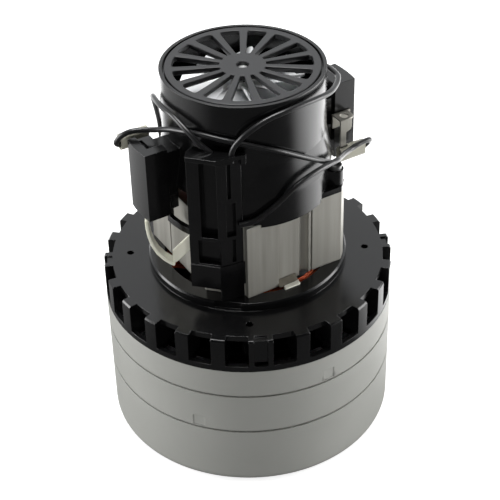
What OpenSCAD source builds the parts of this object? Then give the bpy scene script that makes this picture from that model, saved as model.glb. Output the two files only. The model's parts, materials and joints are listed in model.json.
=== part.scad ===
// Three-stage peripheral-discharge vacuum motor. Origin at the middle of the inlet
// face, +Z along the shaft, X along the two carbon brushes.

/* [Fan case] */
// Outer radius of the grey steel fan shells
case_r = 72.4; // [68:0.1:76]
// Thickness of the shells' sheet steel
case_sheet = 1; // [0.8:0.1:1.4]
// Radius of the rounded edge round the inlet face
case_corner_r = 5; // [3:0.5:9]
// Height of the lowest shell
lower_shell_h = 34; // [31:0.5:40]
// Height of the middle shell
middle_shell_h = 22.9; // [21:0.1:27]
// Height of the top shell
upper_shell_h = 16.3; // [15.5:0.1:20]
// Radius of the rounded step at each seam
seam_r = 1.8; // [1.5:0.1:2.5]
// Radius of the air inlet
inlet_r = 24; // [20:0.5:27]
// Height of the lip turned in round the inlet
inlet_lip_h = 2.4; // [1.5:0.1:3]
// Radius of the eye in the floor of the upper two shells
eye_r = 21; // [18:0.5:24]
// Side of the square stakes pressed into the seams
stake_w = 6; // [4:0.5:8]
// Depth of the square stakes
stake_depth = 0.3; // [0.2:0.1:0.5]

/* [Working fans] */
// Gap between the working fans' rims and the case
impeller_gap = 8.4; // [6.4:0.1:12]
// Thickness of the fans' aluminium sheet
impeller_sheet = 1; // [0.8:0.1:1.3]
// Number of blades in each working fan
impeller_blades = 7; // [5:1:9]
// Blade height in the lowest fan
lower_blade_h = 10; // [7:0.5:11]
// Blade height in the upper two fans
upper_blade_h = 6; // [5:0.5:6.5]
// Free height under each working fan
fan_clear = 2.4; // [2:0.1:3]
// Gap between the guide plates' rims and the case
guide_gap = 6.4; // [4.4:0.1:9]
// Number of blades on each guide plate
guide_blades = 9; // [7:1:11]
// Thickness of the guide plates
guide_sheet = 1.2; // [1:0.1:1.6]

/* [Discharge bracket] */
// Step from the case in to the bracket's posts and lower band
bracket_step = 0.1; // [0.1:0.1:0.6]
// Depth of the notches that the posts leave in the rim of the top plate
plate_inset = 4.3; // [2.8:0.1:6]
// Height of the bracket from its lower edge to the top plate
bracket_h = 18.4; // [17:0.1:22]
// Thickness of the top plate
plate_t = 3; // [2.5:0.1:4]
// Height of the band under the air windows
band_h = 3.1; // [2.5:0.1:4]
// Radial thickness of that band
band_t = 2.6; // [2:0.1:3]
// Windows between two double posts
windows_per_quarter = 6; // [4:1:7]
// Width of one air window at the rim
window_w = 11.3; // [9:0.1:12]
// Width of each half of a double post
half_post_w = 2.6; // [2:0.1:3.5]
// Angle of the first double post about the shaft
post_turn = -115.9; // [-130:0.1:-100]
// Width of the raised collar beyond the housing's skirt
collar_step = 7.9; // [7:0.1:9]
// Height of the collar above the top plate
collar_h = 4.2; // [3.5:0.1:5]
// Radial width of the collar
collar_w = 8; // [6.5:0.1:9]
// Wall between the motor's well and the discharge air
well_wall = 2.5; // [2:0.1:3]
// Place of the mounting holes between the collar and the plate's rim
bolt_circle_share = 0.5135; // [0.4635:0.01:0.5635]
// Radius of each mounting hole
bolt_hole_r = 1.8; // [1.5:0.1:2.2]
// Depth of each mounting hole
bolt_hole_depth = 14; // [10:0.5:15]
// Angle of the first mounting hole about the shaft
bolt_turn = -120; // [-125:0.5:-118]

/* [Motor] */
// Step from the square stator's sides out to the housing
stator_step = 2.7; // [2:0.1:3.4]
// Height of the stack of stator laminations
stator_h = 40.3; // [36:0.1:44]
// Radius of the bore in the stator
stator_bore_r = 22.5; // [22:0.1:24]
// Gap between armature and stator
air_gap = 0.5; // [0.4:0.05:0.8]
// Thickness of the enamelled field wire
wire_d = 1.1; // [0.9:0.05:1.2]
// Radius of the commutator
commutator_r = 13; // [12:0.1:14]
// Length of the commutator
commutator_h = 18; // [16:0.5:19]
// Number of commutator bars
commutator_bars = 22; // [16:2:28]
// Radius of the shaft
shaft_r = 4; // [3.5:0.1:4.5]
// Gap between the cooling fan and the housing's wall
cooling_fan_gap = 4.9; // [3.9:0.1:7]
// Number of blades on the cooling fan
cooling_blades = 12; // [9:1:14]
// Height of the cooling fan's blades
cooling_blade_h = 7; // [5:0.5:8]

/* [Housing] */
// Outer radius of the round upper housing
housing_r = 38.9; // [37.5:0.1:40]
// Wall of the upper housing
housing_wall = 3; // [2.6:0.1:3.4]
// Height of the housing above the stator
housing_h = 61.9; // [58:0.1:66]
// Step from the housing out to its skirt
skirt_step = 2.7; // [2:0.1:3.5]
// Height of the flared skirt above the stator
skirt_h = 30; // [24:0.5:32]
// Depth by which the skirt reaches down over the stator
skirt_lap = 1.6; // [1:0.1:2.5]
// Width of the housing's rim round the fan cover
cover_rim = 2.6; // [2.2:0.1:2.8]
// Thickness of the fan cover
cover_t = 2.6; // [2:0.1:3]
// Number of spokes in the fan cover
cover_spokes = 15; // [11:1:17]
// Radius of the fan cover's hub
cover_hub_r = 10.4; // [9:0.1:12]
// Radius of the hole in that hub
cover_hole_r = 3; // [2.5:0.1:4]

/* [Brushes] */
// Height of the brushes' axis above the stator
brush_rise = 21; // [20:0.1:23]
// Gap between the housing and a brush box
neck_l = 6.9; // [6:0.1:8]
// Width of a brush box
box_w = 17.3; // [16:0.1:18]
// Radial depth of a brush box
box_d = 12; // [11.5:0.1:13]
// Height of a brush box
box_h = 41; // [38:0.1:43]
// Wall of a brush box
box_wall = 1.8; // [1.5:0.1:2.1]
// Width of a carbon brush
brush_w = 6.5; // [5.5:0.1:7]
// Height of a carbon brush
brush_h = 11; // [9:0.1:12]
// Length of a new carbon brush
brush_l = 26; // [22:0.5:28]
// Wear travel of a carbon brush, from its stop to the commutator
brush_travel = 6; // [4:0.5:8]

/* [Leads] */
// Thickness of the black leads
lead_d = 2.6; // [2.2:0.1:2.8]

/* [Hidden] */
$fn = 96;

// Overrun of a cut past the face that it opens
cut = 1;
// Seat between pieces that touch loosely
seat = 0.3;
// Radial clearance of a running fit
fit = 0.05;

// Radii that follow the case and the housing, which fit into one another
impeller_r = case_r - impeller_gap;
guide_r = case_r - guide_gap;
bracket_r = case_r - bracket_step;
plate_r = bracket_r - plate_inset;
stator_half = housing_r - stator_step;
skirt_r = housing_r + skirt_step;
cover_r = housing_r - cover_rim;
cooling_fan_r = housing_r - housing_wall - cooling_fan_gap;
collar_r = skirt_r + collar_step;
well_r = collar_r - collar_w;
bolt_circle_r = collar_r + bolt_circle_share * (plate_r - collar_r);
box_x = housing_r + neck_l;
box_reach = box_x + box_d;

// Levels of the seams, the bracket, the stator and the housing
seam1_z = lower_shell_h;
seam2_z = seam1_z + middle_shell_h;
bracket_z = seam2_z + upper_shell_h;
plate_z = bracket_z + bracket_h;
stator_z = plate_z + collar_h;
stator_top = stator_z + stator_h;
brush_z = stator_top + brush_rise;
rim_z = stator_top + housing_h;
cover_z = rim_z - cover_t;

// Flat ring between two radii
module ring(outer, inner, z, h) {
    translate([0, 0, z])
        difference() {
            cylinder(r = outer, h = h);
            translate([0, 0, -cut]) cylinder(r = inner, h = h + 2 * cut);
        }
}

// Half section of a pan, with its floor at the bottom and a rounded outer edge
module pan_section(h, corner, hole) {
    inner_r = case_r - case_sheet;
    difference() {
        union() {
            translate([0, corner]) square([case_r, h - corner]);
            square([case_r - corner, h]);
            translate([case_r - corner, corner]) circle(corner);
        }
        translate([-cut, corner]) square([inner_r + cut, h]);
        translate([-cut, case_sheet]) square([case_r - corner + cut, h]);
        translate([case_r - corner, corner]) circle(corner - case_sheet);
        translate([-cut, -cut]) square([hole + cut, corner + 2 * cut]);
    }
}

// Square stake pressed into a shell just above its lower edge
module stake(angle, z) {
    rotate([0, 0, angle])
        translate([case_r - stake_depth, -stake_w / 2, z])
        cube([stake_depth + cut, stake_w, stake_w]);
}

module lower_fan_shell() {
    color("gray")
        union() {
            rotate_extrude() pan_section(lower_shell_h, case_corner_r, inlet_r);
            ring(inlet_r + case_sheet, inlet_r, case_sheet, inlet_lip_h);
        }
}

module middle_fan_shell() {
    stake_turn = -141;
    color("gray")
        difference() {
            translate([0, 0, seam1_z])
                rotate_extrude() pan_section(middle_shell_h, seam_r, eye_r);
            for (k = [0:2]) stake(stake_turn + k * 120, seam1_z + seam_r);
        }
}

module upper_fan_shell() {
    stake_turn = -88.7;
    color("gray")
        difference() {
            translate([0, 0, seam2_z])
                rotate_extrude() pan_section(upper_shell_h, seam_r, eye_r);
            for (k = [0:2]) stake(stake_turn + k * 120, seam2_z + seam_r);
        }
}

// Outline of one swept blade between two radii: a strip of a large ring
module blade_outline(inner, outer, thick) {
    bend_share = 0.58;
    bend_r = outer * bend_share;
    bend_x = bend_r - inner / 4;
    intersection() {
        difference() {
            circle(outer);
            circle(inner);
        }
        translate([bend_x, 0])
            difference() {
                circle(bend_r);
                circle(bend_r - thick);
            }
        translate([-outer, 0]) square([2 * outer, outer]);
    }
}

// Working fan: shroud with an eye below, back disc above, swept blades between
module impeller(z, blade_h) {
    blade_t = impeller_sheet;
    rim_inset = 1;
    color("lightgray")
        union() {
            ring(impeller_r, eye_r - fan_clear, z, impeller_sheet);
            ring(impeller_r, shaft_r + fit, z + impeller_sheet + blade_h, impeller_sheet);
            for (k = [0:impeller_blades - 1])
                rotate([0, 0, k * 360 / impeller_blades])
                    translate([0, 0, z + impeller_sheet / 2])
                    linear_extrude(blade_h + impeller_sheet)
                    blade_outline(eye_r - fan_clear + rim_inset, impeller_r - rim_inset, blade_t);
        }
}

// Levels of the working fans, each its own clearance above the floor below it
lower_fan_z = case_sheet + inlet_lip_h + fan_clear / 2;
middle_fan_z = seam1_z + case_sheet + fan_clear;
upper_fan_z = seam2_z + case_sheet + fan_clear;
lower_fan_top = lower_fan_z + lower_blade_h + 2 * impeller_sheet;
middle_fan_top = middle_fan_z + upper_blade_h + 2 * impeller_sheet;
upper_fan_top = upper_fan_z + upper_blade_h + 2 * impeller_sheet;

module lower_impeller() { impeller(lower_fan_z, lower_blade_h); }
module middle_impeller() { impeller(middle_fan_z, upper_blade_h); }
module upper_impeller() { impeller(upper_fan_z, upper_blade_h); }

// Fixed plate whose blades lead the air back to the next eye; the blades' tips stand
// on the shell's wall and their tops touch the floor above
module guide_plate(z, top) {
    hole_r = shaft_r * 2.5;
    wall_r = case_r - case_sheet;
    color("silver")
        union() {
            ring(guide_r, hole_r, z, guide_sheet);
            for (k = [0:guide_blades - 1])
                rotate([0, 0, k * 360 / guide_blades])
                    mirror([0, 1, 0])
                    translate([0, 0, z + guide_sheet / 2])
                    linear_extrude(top - z - guide_sheet / 2)
                    blade_outline(eye_r + fan_clear, wall_r, guide_sheet);
        }
}

module lower_guide_plate() { guide_plate(lower_fan_top + fan_clear, seam1_z); }
module upper_guide_plate() { guide_plate(middle_fan_top + fan_clear, seam2_z); }

// Angles taken at the rim by one window, one double post and one plain post
double_gap_w = 6.5;
window_angle = window_w / bracket_r * 180 / PI;
double_angle = (double_gap_w + 2 * half_post_w) / bracket_r * 180 / PI;
post_angle = (90 - windows_per_quarter * window_angle - double_angle) / (windows_per_quarter - 1);
post_w = post_angle * PI / 180 * bracket_r;
post_run = 8;
post_inner_r = plate_r - post_run;
edge_break = 0.8;
floor_t = 3;
bearing_r = 11;
bearing_h = 7;
bearing_ring_t = 1.8;
hub_wall = 3;
hub_drop = 2;
lower_bearing_z = bracket_z;
lip_r = bearing_r - bearing_ring_t;

// Bolts through the corners of the stator that the leads don't use
bolt_r = 2;
bolt_inset = 3.8;
corner_reach = 12;
stator_corner_r = stator_half + corner_reach;
bolt_reach = stator_corner_r - bolt_inset;
bolt_boss_r = 4.2;
bolt_sink = 12;
bolt_head_r = 3;
bolt_head_h = 2.6;
lug_h = 11;
lug_sink = 0.4;
bolt_angles = [-45, 135];

edge_break_share = 0.1;
// Notch in the collar below the terminal post's tab
post_turn_at_corner = -132;
post_seat_w = 13;
post_seat_h = collar_h - edge_break_share * collar_h;

module at_bolts() {
    for (a = bolt_angles)
        rotate([0, 0, a]) translate([bolt_reach, 0, 0]) children();
}

// Radial bar between two radii, standing on the bracket's lower edge
module radial_bar(angle, inner, outer, width, z, h) {
    rotate([0, 0, angle])
        translate([inner, -width / 2, z])
        cube([outer - inner, width, h]);
}

module bracket_posts() {
    half_gap = (double_gap_w + half_post_w) / 2 / bracket_r * 180 / PI;
    panel_inset = 1.6;
    slot_floor = band_h + panel_inset;
    for (q = [0:3]) {
        quarter = post_turn + 90 * q;
        for (side = [-1, 1])
            radial_bar(quarter + side * half_gap, post_inner_r, bracket_r + cut,
                half_post_w, bracket_z, bracket_h);
        radial_bar(quarter, post_inner_r, bracket_r - panel_inset, double_gap_w + half_post_w,
            bracket_z + slot_floor, bracket_h - slot_floor - edge_break);
        for (i = [1:windows_per_quarter - 1])
            radial_bar(quarter + double_angle / 2 + i * window_angle + (i - 0.5) * post_angle,
                post_inner_r, bracket_r + cut, post_w, bracket_z, bracket_h);
    }
}

module discharge_bracket() {
    hub_r = bearing_r + hub_wall;
    well_outer = well_r + well_wall;
    roof_r = post_inner_r + well_wall;
    spigot_r = case_r - case_sheet - fit;
    floor_z = bracket_z + floor_t;
    low_z = bracket_z - hub_drop;
    under_z = plate_z - plate_t;
    color([0.09, 0.09, 0.1])
        difference() {
            union() {
                rotate_extrude()
                    polygon([[lip_r, low_z], [roof_r, low_z], [roof_r, floor_z],
                        [well_outer, floor_z], [well_outer, under_z], [plate_r, under_z],
                        [plate_r, plate_z], [collar_r, plate_z], [collar_r, stator_z - edge_break],
                        [collar_r - edge_break, stator_z], [well_r, stator_z], [well_r, floor_z],
                        [hub_r, floor_z], [hub_r, bracket_z + bearing_h],
                        [bearing_r, bracket_z + bearing_h], [bearing_r, bracket_z],
                        [lip_r, bracket_z]]);
                rotate_extrude()
                    polygon([[bracket_r - band_t, low_z], [spigot_r, low_z], [spigot_r, bracket_z],
                        [bracket_r, bracket_z], [bracket_r, bracket_z + band_h],
                        [bracket_r - band_t, bracket_z + band_h]]);
                intersection() {
                    bracket_posts();
                    rotate_extrude()
                        polygon([[0, bracket_z], [bracket_r, bracket_z],
                            [bracket_r, plate_z - edge_break], [bracket_r - edge_break, plate_z],
                            [0, plate_z]]);
                }
                for (q = [0:3])
                    rotate([0, 0, bolt_turn + 90 * q])
                        translate([bolt_circle_r, 0, floor_z - cut])
                        cylinder(r = bolt_boss_r, h = under_z - floor_z + 2 * cut);
                difference() {
                    translate([0, 0, bracket_z]) at_bolts() cylinder(r = bolt_boss_r, h = bracket_h);
                    translate([0, 0, floor_z]) cylinder(r = well_r + fit, h = bracket_h);
                }
            }
            for (q = [0:3])
                rotate([0, 0, bolt_turn + 90 * q])
                    translate([bolt_circle_r, 0, plate_z - bolt_hole_depth])
                    cylinder(r = bolt_hole_r, h = bolt_hole_depth + cut);
            translate([0, 0, stator_z - bolt_sink])
                at_bolts() cylinder(r = bolt_r + fit, h = bolt_sink + cut);
            rotate([0, 0, post_turn_at_corner])
                translate([collar_r - 2 * edge_break, -post_seat_w / 2, stator_z - post_seat_h])
                cube([2 * edge_break + cut, post_seat_w, post_seat_h + cut]);
        }
}

// Plan of the stator: a square with two rounded and two cut corners, a raised land,
// a bolt groove and a slit on the faces that carry the poles, slits on the other two
corner_cut_step = 5.1;
corner_cut = stator_half + corner_cut_step;
land_w = 17;
land_x = -13.9;
land_t = 2.4;
groove_r = 2.7;
groove_x = 10.4;
slit_w = 1;
slit_depth = 1.6;
slit_x = 14.8;
side_slit_y = 12;
slot_lip = 0.9;
slot_back = 7.3;
slot_inner_r = stator_bore_r + slot_lip;
slot_outer_r = stator_half - slot_back;
slot_half_angle = 34;
slot_mouth_angle = 12;

module annular_sector(inner, outer, half_angle) {
    intersection() {
        difference() {
            circle(outer);
            circle(inner);
        }
        polygon([[0, 0], [outer * 2, -outer * 2 * tan(half_angle)], [outer * 2, outer * 2 * tan(half_angle)]]);
    }
}

module stator_block(grow = 0) {
    intersection() {
        square(2 * (stator_half + grow), center = true);
        circle(stator_corner_r + grow);
        rotate(45) square([2 * (corner_cut + grow), 3 * stator_half], center = true);
    }
}

module stator_outline(grow = 0) {
    stator_block(grow);
    for (a = [0, 180])
        rotate(a)
            translate([land_x - land_w / 2 - grow, -stator_half - land_t - grow])
            square([land_w + 2 * grow, land_t + cut + grow]);
}

module stator_plan() {
    difference() {
        stator_outline();
        for (a = [0, 180])
            rotate(a) {
                translate([groove_x, -stator_half]) circle(groove_r);
                translate([slit_x - slit_w / 2, -stator_half - cut]) square([slit_w, slit_depth + cut]);
                translate([-stator_half - cut, side_slit_y]) square([slit_depth + cut, slit_w]);
            }
    }
}

module stator_core() {
    color([0.72, 0.71, 0.67])
        difference() {
            translate([0, 0, stator_z])
                linear_extrude(stator_h)
                difference() {
                    stator_plan();
                    circle(stator_bore_r);
                    for (a = [0, 180])
                        rotate(a) {
                            annular_sector(slot_inner_r, slot_outer_r, slot_half_angle);
                            annular_sector(stator_bore_r - cut, slot_inner_r + cut, slot_mouth_angle);
                        }
                }
            translate([0, 0, stator_z - cut])
                at_bolts() cylinder(r = bolt_r + seat, h = stator_h + 2 * cut);
        }
}

// Points of a smooth route through hand-chosen points
function unit(v) = v / norm(v);
function pick(p, i) = p[max(0, min(len(p) - 1, i))];
function route_point(p, i, t) =
    let (a = pick(p, i - 1), b = pick(p, i), c = pick(p, i + 1), d = pick(p, i + 2))
    (2 * b + (c - a) * t + (2 * a - 5 * b + 4 * c - d) * t * t
        + (3 * b - a - 3 * c + d) * t * t * t) / 2;
function smooth_route(p, steps) = [
    for (i = [0:len(p) - 2]) for (s = [0:steps - 1]) route_point(p, i, s / steps),
    p[len(p) - 1]
];
function directions(q) = [for (i = [0:len(q) - 1]) unit(pick(q, i + 1) - pick(q, i - 1))];
function carried(ts, n, i) = i >= len(ts) ? []
    : let (m = unit(n - (n * ts[i]) * ts[i])) concat([m], carried(ts, m, i + 1));
function sideways(t) = abs(t[2]) < 0.9 ? cross(t, [0, 0, 1]) : cross(t, [1, 0, 0]);

// Tube or strip swept along points, with an oval section of the given half sizes
module swept(q, half_a, half_b, sides, turn = 0) {
    ts = directions(q);
    ns = carried(ts, unit(sideways(ts[0])), 0);
    n = len(q);
    points = [for (i = [0:n - 1]) for (k = [0:sides - 1])
        let (a = turn + k * 360 / sides)
        q[i] + half_a * cos(a) * ns[i] + half_b * sin(a) * cross(ts[i], ns[i])];
    walls = [for (i = [0:n - 2]) for (k = [0:sides - 1])
        let (k2 = (k + 1) % sides, a = i * sides + k, b = i * sides + k2)
        each [[a, a + sides, b], [b, a + sides, b + sides]]];
    ends = [for (k = [1:sides - 2]) each [[0, k, k + 1],
        [(n - 1) * sides, (n - 1) * sides + k + 1, (n - 1) * sides + k]]];
    polyhedron(points, concat(walls, ends));
}

// Field winding: a saddle of nested turns in two layers, spiralling out and back
coil_turns = 6;
coil_pitch = wire_d + 0.55 * wire_d;
coil_lift = 2.8;
coil_slot_r = stator_bore_r + coil_lift;
coil_half_w = 28;
coil_corner = 2.6;
coil_side = stator_h / 2 + coil_corner / 4;
coil_room = 3.8;
coil_flare = skirt_r - housing_wall - coil_room - coil_pitch - wire_d / 2 - coil_slot_r;
coil_loop = concat(
    [for (a = [0:30:90]) [1, 1, a]], [for (t = [0.6:-0.4:-0.6]) [t, 1, 90]],
    [for (a = [90:30:180]) [-1, 1, a]], [for (a = [180:30:270]) [-1, -1, a]],
    [for (t = [-0.6:0.4:0.6]) [t, -1, 270]], [for (a = [270:30:360]) [1, -1, a]]);
coil_rings = len(coil_loop);

function coil_point(i) =
    let (u = i / coil_rings,
        s = coil_corner + coil_pitch * min(u, 2 * coil_turns - u),
        layer = max(0, min(1, (u - coil_turns) * 2 + 0.5)),
        at = coil_loop[i % coil_rings],
        across = at[0] * (coil_half_w - coil_corner) + s * cos(at[2]),
        up = at[1] * coil_side + s * sin(at[2]),
        out = pow(sin(at[2]), 2),
        r = coil_slot_r + layer * coil_pitch + coil_flare * out,
        a = -90 + across / coil_slot_r * 180 / PI)
    [r * cos(a), r * sin(a), stator_z + stator_h / 2 + up];
coil_path = [for (i = [0:2 * coil_turns * coil_rings]) coil_point(i)];

// Least gap between the winding's turns, measured on its points
coil_gap = min([for (i = [0:2:len(coil_path) - 1]) for (j = [i + coil_rings / 2:len(coil_path) - 1])
    norm(coil_path[i] - coil_path[j])]) - wire_d;
echo(field_coil_gap = coil_gap);

module front_field_coil() {
    color([0.72, 0.3, 0.16]) swept(coil_path, wire_d / 2, wire_d / 2, 6);
}

module rear_field_coil() {
    color([0.72, 0.3, 0.16]) rotate([0, 0, 180]) swept(coil_path, wire_d / 2, wire_d / 2, 6);
}

// Insulating frame that holds the end turns: an upright tab below the stator with a
// foot hooked under the pole, and its twin above
module coil_frame() {
    tab_w = 9;
    tab_x = 3;
    tab_t = 1.2;
    tab_h = 11;
    tab_y = stator_half;
    foot = tab_y - stator_bore_r - 3 * tab_t;
    for (end = [0, 1])
        translate([0, 0, stator_z + end * stator_h])
            mirror([0, 0, end == 0 ? 1 : 0]) {
                translate([tab_x - tab_w / 2, -tab_y, 0]) cube([tab_w, tab_t, tab_h]);
                translate([tab_x - tab_w / 2, -tab_y, 0]) cube([tab_w, foot, tab_t]);
            }
}

module front_coil_frame() { color("white") coil_frame(); }
module rear_coil_frame() { color("white") rotate([0, 0, 180]) coil_frame(); }

// Levels in the housing
bearing_rise = 14;
upper_bearing_z = brush_z + bearing_rise;
spider_t = 2.4;
washer_h = 0.9;
spider_z = upper_bearing_z - washer_h - spider_t;
flare_z = stator_top + skirt_h;
straight_z = stator_top + skirt_h / 2.2;
neck_w = 14;
neck_h = 24;
tube_clear = 0.1;
tube_wall = 0.8;
tube_w = brush_w + 2 * (tube_clear + tube_wall);
tube_h = brush_h + 2 * (tube_clear + tube_wall);
cover_gap = 1;
rim_wall = housing_r - cover_r - cover_gap;

// Corners of the stator above its top face, where the housing stands on it
module housing_feet() {
    foot_h = 3;
    translate([0, 0, stator_top])
        linear_extrude(foot_h)
        difference() {
            stator_block();
            circle(skirt_r - housing_wall);
        }
    translate([0, 0, stator_top])
        at_bolts() {
            cylinder(r = bolt_inset, h = lug_h);
            translate([-bolt_inset * 2, -bolt_inset, 0]) cube([bolt_inset * 2, 2 * bolt_inset, lug_h]);
        }
}

// Hollow of the skirt and the housing above it
module housing_hollow() {
    rotate_extrude()
        polygon([[0, stator_z], [skirt_r - housing_wall, stator_z],
            [skirt_r - housing_wall, straight_z], [housing_r - housing_wall, flare_z], [0, flare_z]]);
}

// Bulges by which the skirt runs out to the bolts
module skirt_bulges() {
    bulge_r = 9.6;
    bulge_out = 3;
    bulge_reach = skirt_r + bulge_out - bulge_r;
    low = stator_top + edge_break;
    difference() {
        for (a = bolt_angles)
            rotate([0, 0, a])
                translate([bulge_reach, 0, 0]) {
                    translate([0, 0, low]) cylinder(r = bulge_r, h = straight_z - low);
                    translate([0, 0, straight_z])
                        cylinder(r1 = bulge_r, r2 = housing_r - edge_break - bulge_reach,
                            h = flare_z - edge_break - straight_z);
                }
        housing_hollow();
    }
}

// Window low in the skirt on the left, with a guard bar standing off below it
window_from = -176;
window_to = -158.5;
module left_window(inner, outer, from, to, z, h) {
    steps = 6;
    polygon_r = 2 * outer;
    intersection() {
        ring(outer, inner, z, h);
        translate([0, 0, z - cut])
            linear_extrude(h + 2 * cut)
            polygon(concat([[0, 0]], [for (i = [0:steps])
                let (a = from + (to - from) * i / steps) [polygon_r * cos(a), polygon_r * sin(a)]]));
    }
}

module motor_housing() {
    lap_z = stator_top - skirt_lap;
    bar_drop = 8;
    bar_z = lap_z - bar_drop;
    bar_h = 3.5;
    bar_out = 1.9;
    bar_r = skirt_r + bar_out;
    window_h = 14;
    ledge_z = cover_z;
    hub_r = bearing_r + hub_wall;
    airway_edge = 3.2;
    airway_inner = hub_r + airway_edge;
    airway_outer = housing_r - housing_wall - 0.75 * airway_edge;
    arm_angle = 36;
    color([0.08, 0.08, 0.09])
        difference() {
            union() {
                rotate_extrude()
                    polygon([[skirt_r - housing_wall, lap_z], [skirt_r, lap_z],
                        [skirt_r, straight_z], [housing_r, flare_z], [housing_r, rim_z],
                        [housing_r - rim_wall, rim_z], [housing_r - rim_wall, ledge_z],
                        [housing_r - housing_wall, ledge_z], [housing_r - housing_wall, flare_z],
                        [skirt_r - housing_wall, straight_z]]);
                housing_feet();
                skirt_bulges();
                ring(housing_r - edge_break, lip_r, spider_z, spider_t);
                ring(hub_r, bearing_r, spider_z, spider_t + washer_h + bearing_h);
                for (side = [0, 180])
                    rotate([0, 0, side])
                        translate([housing_r - housing_wall, -neck_w / 2, brush_z - neck_h / 2])
                        cube([box_x - housing_r + housing_wall, neck_w, neck_h]);
                left_window(skirt_r - edge_break / 2, bar_r, window_from - 4, window_to + 4, bar_z, bar_h);
                for (a = [window_from - 4, window_to + 0.8])
                    left_window(skirt_r - edge_break / 2, bar_r, a, a + 3.2, bar_z, lap_z + window_h - bar_z - bar_out);
            }
            translate([0, 0, stator_z]) linear_extrude(stator_h) stator_outline(seat);
            for (side = [0, 180])
                rotate([0, 0, side])
                    translate([housing_r / 2, -tube_w / 2 - fit, brush_z - tube_h / 2 - fit])
                    cube([box_reach, tube_w + 2 * fit, tube_h + 2 * fit]);
            translate([0, 0, stator_top - cut])
                at_bolts() cylinder(r = bolt_r + fit, h = skirt_h);
            translate([0, 0, stator_top + lug_h - lug_sink])
                at_bolts() cylinder(r = bolt_head_r + seat, h = skirt_h);
            left_window(skirt_r - housing_wall - cut, skirt_r + edge_break / 4,
                window_from, window_to, lap_z - cut, window_h + cut);
            for (k = [0:3])
                intersection() {
                    ring(airway_outer, airway_inner, spider_z - cut, spider_t + 2 * cut);
                    translate([0, 0, spider_z - cut])
                        rotate([0, 0, 90 * k + arm_angle / 2])
                        linear_extrude(spider_t + 2 * cut)
                        polygon([[0, 0], [2 * skirt_r, 0],
                            [2 * skirt_r * cos(90 - arm_angle), 2 * skirt_r * sin(90 - arm_angle)]]);
                }
        }
}

// Grille over the cooling fan: hub, spokes that widen outwards and slots between
module fan_cover() {
    spoke_turn = 58.6;
    rim_w = 3.4;
    slot_in = cover_hub_r + edge_break / 2;
    slot_out = cover_r - rim_w;
    slot_in_w = 1.7;
    slot_out_w = 9.8;
    corner = slot_out_w / 2;
    color([0.09, 0.09, 0.1])
        difference() {
            translate([0, 0, cover_z]) cylinder(r = cover_r, h = cover_t);
            translate([0, 0, cover_z - cut]) cylinder(r = cover_hole_r, h = cover_t + 2 * cut);
            translate([0, 0, rim_z - edge_break / 2])
                cylinder(r1 = cover_hole_r, r2 = cover_hole_r + edge_break, h = edge_break);
            for (k = [0:cover_spokes - 1])
                rotate([0, 0, spoke_turn + (k + 0.5) * 360 / cover_spokes])
                    translate([0, 0, cover_z - cut])
                    linear_extrude(cover_t + 2 * cut)
                    intersection() {
                        union() {
                            polygon([[slot_in, -slot_in_w / 2], [slot_out - corner / 2, -slot_out_w / 2],
                                [slot_out - corner / 2, slot_out_w / 2], [slot_in, slot_in_w / 2]]);
                            translate([slot_out - corner / 2, -slot_out_w / 2])
                                square([corner / 2, slot_out_w]);
                        }
                        circle(slot_out);
                    }
        }
}

// Terminal post standing on the collar in front of the stator's cut corner: corners
// by their step outside the skirt and their angle, from the right round to the back
post_steps = [0.8, 7.2, 9.4, 5.9];
post_turns = [-121.9, -135.5, -151.7, -153.8];
post_corners = [for (i = [0:3]) (skirt_r + post_steps[i]) * [cos(post_turns[i]), sin(post_turns[i])]];
post_right = post_corners[0];
post_ridge = post_corners[1];
post_left = post_corners[2];
post_right_w = norm(post_right - post_ridge);
post_left_w = norm(post_ridge - post_left);
post_foot_h = 7.7;
post_box_h = 13;
post_low_h = 15;
post_lip_rise = 40.2;
post_box_z = stator_z + post_foot_h;
post_ledge2_z = post_box_z + post_box_h;
post_ledge1_z = post_ledge2_z + post_low_h;
post_top_z = stator_top + post_lip_rise;

module post_plan(grow = 0) {
    difference() {
        polygon([post_right + [grow, -grow], post_ridge + [-grow / 2, -grow],
            post_left + [-grow / 2, -grow / 2], post_corners[3], post_corners[3] / 2, post_right / 2]);
        circle(skirt_r + seat);
        stator_block(seat);
    }
}

// Stands its children on the right or the left face, x along it and y into the post
module on_right_face() {
    run = post_right - post_ridge;
    translate(post_ridge) rotate([0, 0, atan2(run[1], run[0])]) children();
}
module on_left_face() {
    run = post_ridge - post_left;
    translate(post_left) rotate([0, 0, atan2(run[1], run[0])]) children();
}

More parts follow.
